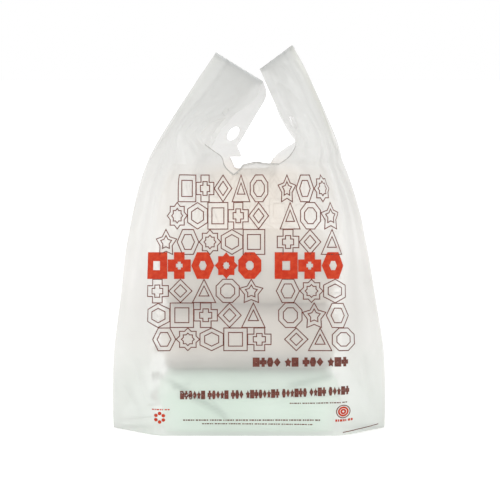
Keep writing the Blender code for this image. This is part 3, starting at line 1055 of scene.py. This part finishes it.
def flexoInk(name, deep, light, opacity):
    # flexographic ink on film: matt, thin, and slightly blotchy every 4 mm from uneven laydown
    material, tree, shader = newMaterial(name, {
        "Roughness": 0.55, "IOR": 1.48, "Specular IOR Level": 0.15, "Alpha": opacity})
    place = addNode(tree, "ShaderNodeTexCoord")
    laydown = addNode(tree, "ShaderNodeTexNoise", {"Scale": 260.0, "Detail": 3.0},
                      {"Vector": place.outputs["Object"]})
    colour = addNode(tree, "ShaderNodeValToRGB", None, {"Fac": laydown.outputs["Fac"]})
    colour.color_ramp.elements[0].position = 0.3
    colour.color_ramp.elements[0].color = toLinear(light)
    colour.color_ramp.elements[1].position = 0.6
    colour.color_ramp.elements[1].color = toLinear(deep)
    tree.links.new(colour.outputs["Color"], shader.inputs["Base Color"])
    return material


def polystyreneFoam(name, deep, light):
    # extruded polystyrene sheet, vacuum formed: pale, matt, with fine closed cells about 1.2 mm across,
    # seen through the film as a soft block of colour
    material, tree, shader = newMaterial(name, {"Roughness": 0.62, "IOR": 1.5})
    place = addNode(tree, "ShaderNodeTexCoord")
    cells = addNode(tree, "ShaderNodeTexVoronoi", {"Scale": 1000 / 1.2}, {"Vector": place.outputs["Object"]})
    cloud = addNode(tree, "ShaderNodeTexNoise", {"Scale": 30.0, "Detail": 2.0},
                    {"Vector": place.outputs["Object"]})
    colour = addNode(tree, "ShaderNodeValToRGB", None, {"Fac": cloud.outputs["Fac"]})
    colour.color_ramp.elements[0].color = toLinear(deep)
    colour.color_ramp.elements[1].color = toLinear(light)
    tree.links.new(colour.outputs["Color"], shader.inputs["Base Color"])
    bump = addNode(tree, "ShaderNodeBump", {"Strength": 0.3, "Distance": 0.0003},
                   {"Height": cells.outputs["Distance"]})
    tree.links.new(bump.outputs["Normal"], shader.inputs["Normal"])
    return material


def paint(piece, material):
    piece.data.materials.clear()
    piece.data.materials.append(material)


colours = {
    "weld": "#C4C6C5",
    "rolledEdge": "#A3A19C",
    # deep and light tones
    "lineInk": ("#5C3029", "#734239"),
    "solidInk": ("#AD2C14", "#BA3F22"),
    "greenFoam": ("#C1DDCA", "#CBE4D3"),
    "greyFoam": ("#B9B2A9", "#C4BDB4"),
}

film = blownPolyethyleneFilm()
weld = fusedFilm("heat_sealed_hdpe", colours["weld"], 0.88)
rolledEdge = fusedFilm("rolled_hdpe_edge", colours["rolledEdge"], 0.92)
lineInk = flexoInk("flexo_ink_line", *colours["lineInk"], 0.96)
solidInk = flexoInk("flexo_ink_solid", *colours["solidInk"], 0.98)
greenFoam = polystyreneFoam("formed_polystyrene_foam_green", *colours["greenFoam"])
greyFoam = polystyreneFoam("formed_polystyrene_foam_grey", *colours["greyFoam"])

tube = makeBagTube()
base = makeBase()
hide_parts("front_panel", "back_panel", "left_gusset_front", "left_gusset_back",
            "right_gusset_front", "right_gusset_back")
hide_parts("base_front", "base_back")
for piece in (tube, base):
    paint(piece, film)
    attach(piece, "bag")
print("bag film made")

for name in ("left", "right"):
    plies = makeHandle(name)
    band = makeWeld(name)
    for piece in plies:
        end = "front" if "_front_" in piece.name else "back"
        part = "strap" if "strap" in piece.name else "gusset"
        paint(piece, film)
        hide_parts(f"{name}_handle_{end}_{part}")
        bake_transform(piece)
    bead = makeLipEdge(name + "_lip_edge", handleLip(name), handleForm["lipBead"])
    paint(bead, rolledEdge)
    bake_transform(bead)
    weldEdge = makeLipEdge(name + "_weld_edge", weldLine(name), handleForm["weldBead"])
    for piece, finish in ((weldEdge, rolledEdge), (band, weld)):
        paint(piece, finish)
        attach(piece, name + "_handle")
    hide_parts(name + "_handle_top_seal")
lipBead = makeLipEdge("front_lip_edge", frontLip(), handleForm["frontBead"])
paint(lipBead, rolledEdge)
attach(lipBead, "bag")
print("handles made")

for facing in (-1, 1):
    for piece, ink in zip(makePrint(facing), (lineInk, solidInk)):
        paint(piece, ink)
        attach(piece, "bag")
print("print laid on the film")

for name in ("lower", "middle", "upper"):
    for piece in makeContainer(name):
        paint(piece, greenFoam if name == "lower" else greyFoam)
        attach(piece, "load")
paint(bpy.data.objects["bottom_seal"], weld)
print("load made")

studio = {
    "ambient": 0.9,
    "floorGlow": 0.3,  # keeps the ground as white as the background
    "floorBounce": 0.12,
    "floorDrop": 0.0005,
    # place, aim, size and power of each light
    "lights": {
        "key": ((-2.6, -1.7, 2.2), (0, 0, 0.2), 0.9, 46.0),
        "fill": ((2.4, -2.6, 1.0), (0, 0, 0.2), 1.4, 34.0),
        "back": ((1.2, 2.6, 1.8), (0, 0, 0.2), 1.2, 14.0),
    },
}
bpy.context.scene.view_settings.view_transform = "Standard"
world = bpy.data.worlds.new("studio")
bpy.context.scene.world = world
world.use_nodes = True
sky = world.node_tree
soft = sky.nodes["Background"]
soft.inputs["Color"].default_value = (1.0, 1.0, 1.0, 1.0)
soft.inputs["Strength"].default_value = studio["ambient"]
white = addNode(sky, "ShaderNodeBackground", {"Color": (1.0, 1.0, 1.0, 1.0), "Strength": 1.0})
rays = addNode(sky, "ShaderNodeLightPath")
seen = addNode(sky, "ShaderNodeMixShader", None, {
    "Fac": rays.outputs["Is Camera Ray"], 1: soft.outputs["Background"], 2: white.outputs["Background"]})
sky.links.new(seen.outputs["Shader"], sky.nodes["World Output"].inputs["Surface"])

floorMesh = bpy.data.meshes.new("floor")
floorCorners = [(x, y, -studio["floorDrop"]) for x, y in ((-6, -6), (6, -6), (6, 9), (-6, 9))]
floorMesh.from_pydata(floorCorners, [], [(0, 1, 2, 3)])
floor = bpy.data.objects.new("floor", floorMesh)
bpy.context.scene.collection.objects.link(floor)
floorPaint, floorTree, floorShader = newMaterial("white_paper_sweep", {
    "Base Color": (0.9, 0.9, 0.9, 1.0), "Roughness": 0.9, "Specular IOR Level": 0.1,
    "Emission Color": (1.0, 1.0, 1.0, 1.0)})
floorRays = addNode(floorTree, "ShaderNodeLightPath")
floorGlow = addNode(floorTree, "ShaderNodeMath", {"operation": "MULTIPLY_ADD"},
                    {0: floorRays.outputs["Is Camera Ray"]})
floorGlow.inputs[1].default_value = studio["floorGlow"] - studio["floorBounce"]
floorGlow.inputs[2].default_value = studio["floorBounce"]
floorTree.links.new(floorGlow.outputs["Value"], floorShader.inputs["Emission Strength"])
paint(floor, floorPaint)


def addLight(name, place, aim, size, power):
    light = bpy.data.lights.new(name, "AREA")
    light.size = size
    light.energy = power
    lamp = bpy.data.objects.new(name, light)
    lamp.location = place
    lamp.rotation_euler = (Vector(aim) - Vector(place)).to_track_quat("-Z", "Y").to_euler()
    bpy.context.scene.collection.objects.link(lamp)


for name, settings in studio["lights"].items():
    addLight(name, *settings)

view = {"elevation": 4.0, "distance": 7.0, "width": 0.5525, "middle": (0.0011, -0.102, 0.2065)}
camera = bpy.data.objects.new("camera", bpy.data.cameras.new("camera"))
bpy.context.scene.collection.objects.link(camera)
angle = math.radians(view["elevation"])
away = Vector((0, -math.cos(angle), math.sin(angle)))
camera.location = Vector(view["middle"]) + away * view["distance"]
camera.rotation_euler = (-away).to_track_quat("-Z", "Y").to_euler()
camera.data.sensor_width = 36
camera.data.lens = 36 * view["distance"] / view["width"]
camera.data.clip_end = 50
bpy.context.scene.camera = camera
